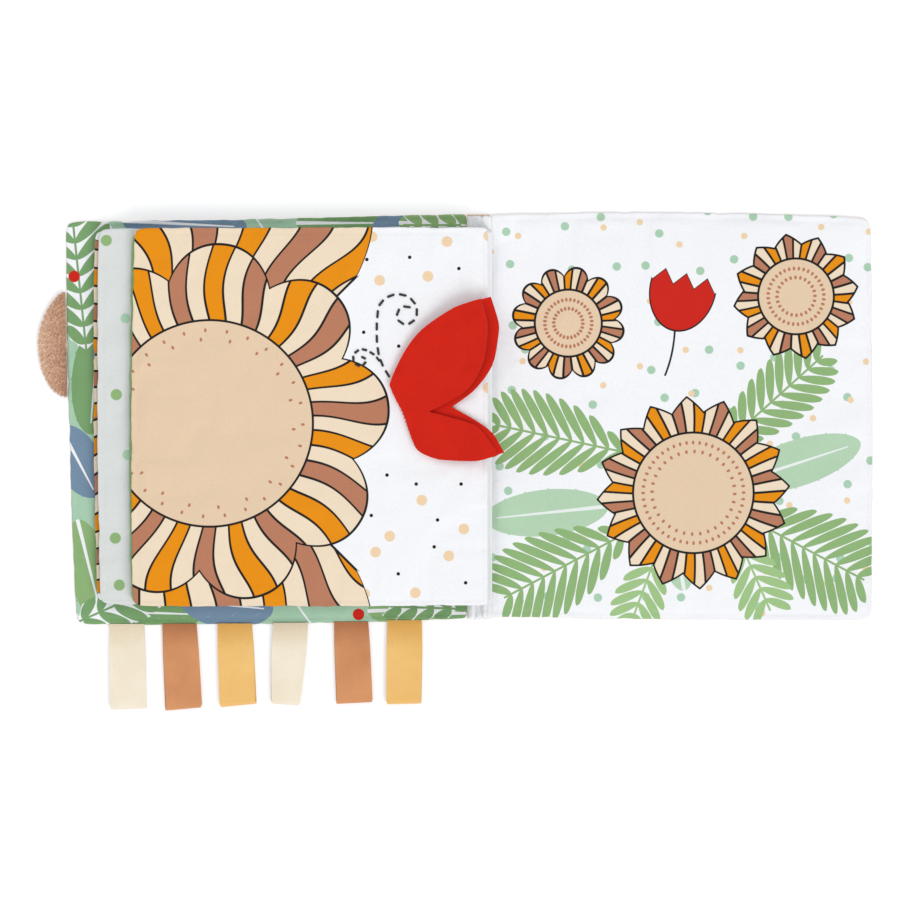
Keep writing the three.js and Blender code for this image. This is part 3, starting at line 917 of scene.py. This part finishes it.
# the pile: short tufts standing off the plush, leaning with its nap
grower = np.random.default_rng(12)
hair_points, hair_faces = [], []
mesh = lobe.data
areas = np.array([p.area for p in mesh.polygons])
chosen = grower.choice(len(areas), 9000, p=areas / areas.sum())
for index in chosen:
    face = mesh.polygons[index]
    corners = [mesh.vertices[i].co for i in face.vertices]
    mixing = grower.dirichlet([1] * len(corners))
    root = sum((c * float(w) for c, w in zip(corners, mixing)), Vector())
    if root.z < 0.0004:
        continue
    lean = Vector((-0.9, -0.7, 0.1)) + Vector(grower.normal(0, 0.35, 3))
    tip = root + (face.normal * 0.7 + lean).normalized() * float(grower.uniform(0.0008, 0.0016))
    if tip.z < 0.0001:
        continue
    across = face.normal.cross(lean).normalized() * 0.00007
    deep = (tip - root).cross(across).normalized() * 0.00007
    start = len(hair_points)
    hair_points += [root + across, root - across * 0.5 + deep, root - across * 0.5 - deep, tip]
    hair_faces += [(start, start + 1, start + 3), (start + 1, start + 2, start + 3),
                   (start + 2, start, start + 3), (start, start + 2, start + 1)]
pile_mesh = bpy.data.meshes.new("plush_pile")
pile_mesh.from_pydata(hair_points, [], hair_faces)
pile = bpy.data.objects.new("plush_pile", pile_mesh)
bpy.context.scene.collection.objects.link(pile)
pile_mesh.materials.append(plush)
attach(pile, "lobe")

# RIBBON LOOPS
# Six lengths of 16 mm double-faced satin ribbon, each folded in half and caught in the seam
# along the front cover's bottom edge: cream, brown and gold, twice.


def satin(name, ink, deep):
    """Satin ribbon: fine ribs across it and a slanting twill line, with painted shade that darkens it
    towards the seam.
    """
    material, tree, shader, where = new_finish(name, 0.42, 0.4, 0.25)
    shader.inputs["Anisotropic"].default_value = 0.5
    x, y, _ = millimetres(tree, where)
    twill = ((x + y * 0.8) * (math.tau / 0.9)).sine()
    rib = (y * (math.tau / 0.35)).sine()
    # painted shade: near the seam the ribbon turns to its darker deep colour, standing in for the shade
    # under the cover's edge
    from_seam = ((y + 91) * -1 / 13).held()
    amount = twill * 0.24 + rib * 0.08 + cloudy(tree, where, 60) * 0.8 + 0.34
    amount = (amount * (from_seam * 0.8 + 0.2)).held()
    tree.links.new(over(tree, deep, ink, amount), shader.inputs["Base Color"])
    raise_surface(tree, shader, twill * 0.5 + rib * 0.3, 0.35, 0.0003)
    return material


# each ribbon's own colour, then the darker colour that is painted near the seam as shade
satins = (
    satin("cream_satin", shade("#fff5e0"), shade("#e6d0ae")),
    satin("brown_satin", shade("#e39d66"), shade("#ab6232")),
    satin("gold_satin", shade("#fccd7c"), shade("#e3a544")),
)
loop_places = (
    (-153.8, -153.1, -92.8, -130.8, 0.0, 0.3, 0), (-130.3, -128.5, -92.7, -130.8, 0.5, 0.7, 0),
    (-105.5, -103.9, -92.6, -129.2, -0.4, 0.8, 0), (-80.4, -82.8, -92.3, -128.8, 0.3, -0.5, 0.22),
    (-53.3, -51.9, -91.8, -128.1, 0.3, 0.4, 0), (-29.3, -29.6, -91.1, -128.5, -0.3, 0.2, 0.04),
)
ribbon_wide, bend, under_low = 16.0, 0.9, 0.25
for number, (root_x, fold_x, root_y, end, twist, skew, narrow) in enumerate(loop_places, 1):
    bpy.ops.object.select_all(action="DESELECT")
    bpy.ops.mesh.primitive_grid_add(x_subdivisions=16, y_subdivisions=88, size=2)
    ribbon = bpy.context.active_object
    ribbon.name = f"ribbon_{number}"
    co = np.array([v.co for v in ribbon.data.vertices])
    run = (co[:, 1] + 1) / 2
    long = root_y - (end + bend)
    total = 2 * long + math.pi * bend
    at = run * total
    top = at < long
    under = at > long + math.pi * bend
    angle = np.clip((at - long) / bend, 0, math.pi)
    y = np.where(top, root_y - at, np.where(under, root_y - (total - at), end + bend - bend * np.sin(angle)))
    up = np.where(top, 2 * bend, np.where(under, 0, bend + bend * np.cos(angle)))
    away = (root_y - y) / long
    z = under_low + up * (0.55 + 0.45 * np.minimum(away, 1)) * (1 + 0.25 * math.sin(number * 2.1))
    middle = root_x + (fold_x - root_x) * away
    wide = ribbon_wide / 2 * (1 - 0.04 * (1 - np.minimum(away * 3, 1))) * (1 - narrow * away**2)
    y = y + co[:, 0] * skew * np.minimum(away, 1)
    x = middle + co[:, 0] * wide + twist * np.where(top, 1, -0.4) * np.minimum(away, 1) * 0.8
    wave = np.array([noise.noise(Vector((a * 0.11, b * 0.07, number * 3.3))) for a, b in zip(x, y)])
    z = z + np.where(under, 0.0, 1.0) * (0.35 * wave + 0.25) * np.minimum(away * 2, 1)
    z = np.maximum(z, 0.2)
    points = np.stack([x, y, z], axis=1) / 1000
    ribbon.data.vertices.foreach_set("co", points.astype(np.float32).ravel())
    ribbon.data.update()
    body = ribbon.modifiers.new("satin", "SOLIDIFY")
    body.thickness, body.offset = 0.0003, 0
    bpy.ops.object.modifier_apply(modifier=body.name)
    bpy.ops.object.shade_smooth_by_angle(angle=math.radians(50))
    ribbon.data.materials.append(satins[(number - 1) % 3])
    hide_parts(f"ribbon_loop_{number}")
    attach(ribbon, f"loop_{number}")

# TABLE, LIGHT AND CAMERA
# A plain white table under the book, soft light from beyond its bottom right corner with a
# wide fill opposite, and a camera far above that looks straight down.

bpy.ops.object.select_all(action="DESELECT")
bpy.ops.mesh.primitive_plane_add(size=6, location=(0, 0, -0.0004))
table = bpy.context.active_object
table.name = "table"
bpy.ops.object.transform_apply(location=True)
table_paint, table_tree, table_shader, _ = new_finish("white_table", 0.9, 0.1)
table_shader.inputs["Base Color"].default_value = (0.86, 0.86, 0.87, 1)
glow = table_tree.nodes.new("ShaderNodeEmission")
ways = table_tree.nodes.new("ShaderNodeLightPath")
seen = (Ink(table_tree, ways.outputs["Is Camera Ray"]) + Ink(table_tree, ways.outputs["Is Glossy Ray"])
        + Ink(table_tree, ways.outputs["Is Transmission Ray"])).least(1)
table_tree.links.new((seen * 0.27).socket, glow.inputs["Strength"])
both = table_tree.nodes.new("ShaderNodeAddShader")
table_tree.links.new(table_shader.outputs[0], both.inputs[0])
table_tree.links.new(glow.outputs[0], both.inputs[1])
table_tree.links.new(both.outputs[0], table_tree.nodes["Material Output"].inputs["Surface"])
table.data.materials.append(table_paint)

world = bpy.data.worlds.new("studio")
bpy.context.scene.world = world
world.use_nodes = True
world.node_tree.nodes["Background"].inputs[0].default_value = (0.98, 0.99, 1.0, 1)
world.node_tree.nodes["Background"].inputs[1].default_value = 0.62
for kind, name, place, power, wide in (
    ("SUN", "softbox", (0.5, -0.75, 1.0), 1.22, 0.6), ("AREA", "fill", (-0.6, 0.7, 1.4), 4.6, 1.2),
):
    lamp = bpy.data.lights.new(name, kind)
    lamp.energy = power
    if kind == "SUN":
        lamp.angle = wide
    else:
        lamp.size = wide
    holder = bpy.data.objects.new(name, lamp)
    holder.location = place
    holder.rotation_euler = (-Vector(place)).to_track_quat("-Z", "Y").to_euler()
    bpy.context.scene.collection.objects.link(holder)

lens = bpy.data.cameras.new("camera")
lens.lens, lens.sensor_width = 200, 36
camera = bpy.data.objects.new("camera", lens)
span, page_height = 0.412, 0.004
camera.location = (-0.0045, -0.0193, page_height + span * lens.lens / lens.sensor_width)
bpy.context.scene.collection.objects.link(camera)
bpy.context.scene.camera = camera
bpy.context.scene.view_settings.view_transform = "Standard"
